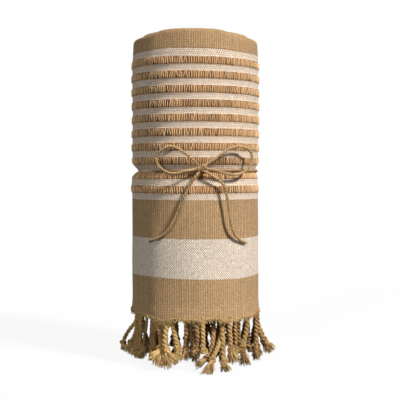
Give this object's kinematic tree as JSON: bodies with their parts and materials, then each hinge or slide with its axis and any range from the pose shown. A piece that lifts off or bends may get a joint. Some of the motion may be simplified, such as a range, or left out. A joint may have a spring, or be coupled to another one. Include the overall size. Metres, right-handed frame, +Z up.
{
  "type": "rolled hammam towel",
  "caption": "Striped cotton hammam towel, folded and rolled up, tied with a jute bow and standing on its knotted fringe.",
  "frame": {"origin": "centre of the footprint of the fringe, on the surface that the roll stands on", "axes": "+Z up along the roll's axis, -Y towards the front with the bow, +X to the right seen from the front"},
  "size_m": [0.1202, 0.1282, 0.2451],
  "materials": {
    "towel_cloth": "matte plain-woven cotton, beige with white and ribbed brown stripes",
    "fringe_cord": "matte twisted cotton cord",
    "jute_twine": "matte hairy two-ply jute"
  },
  "bodies": {
    "root": {"towel_roll": "towel_cloth", "fringe": "fringe_cord", "twine_band": "jute_twine", "twine_knot": "jute_twine", "twine_loop_left": "jute_twine", "twine_loop_right": "jute_twine", "twine_tail_left": "jute_twine", "twine_tail_right": "jute_twine"}
  },
  "joints": []
}
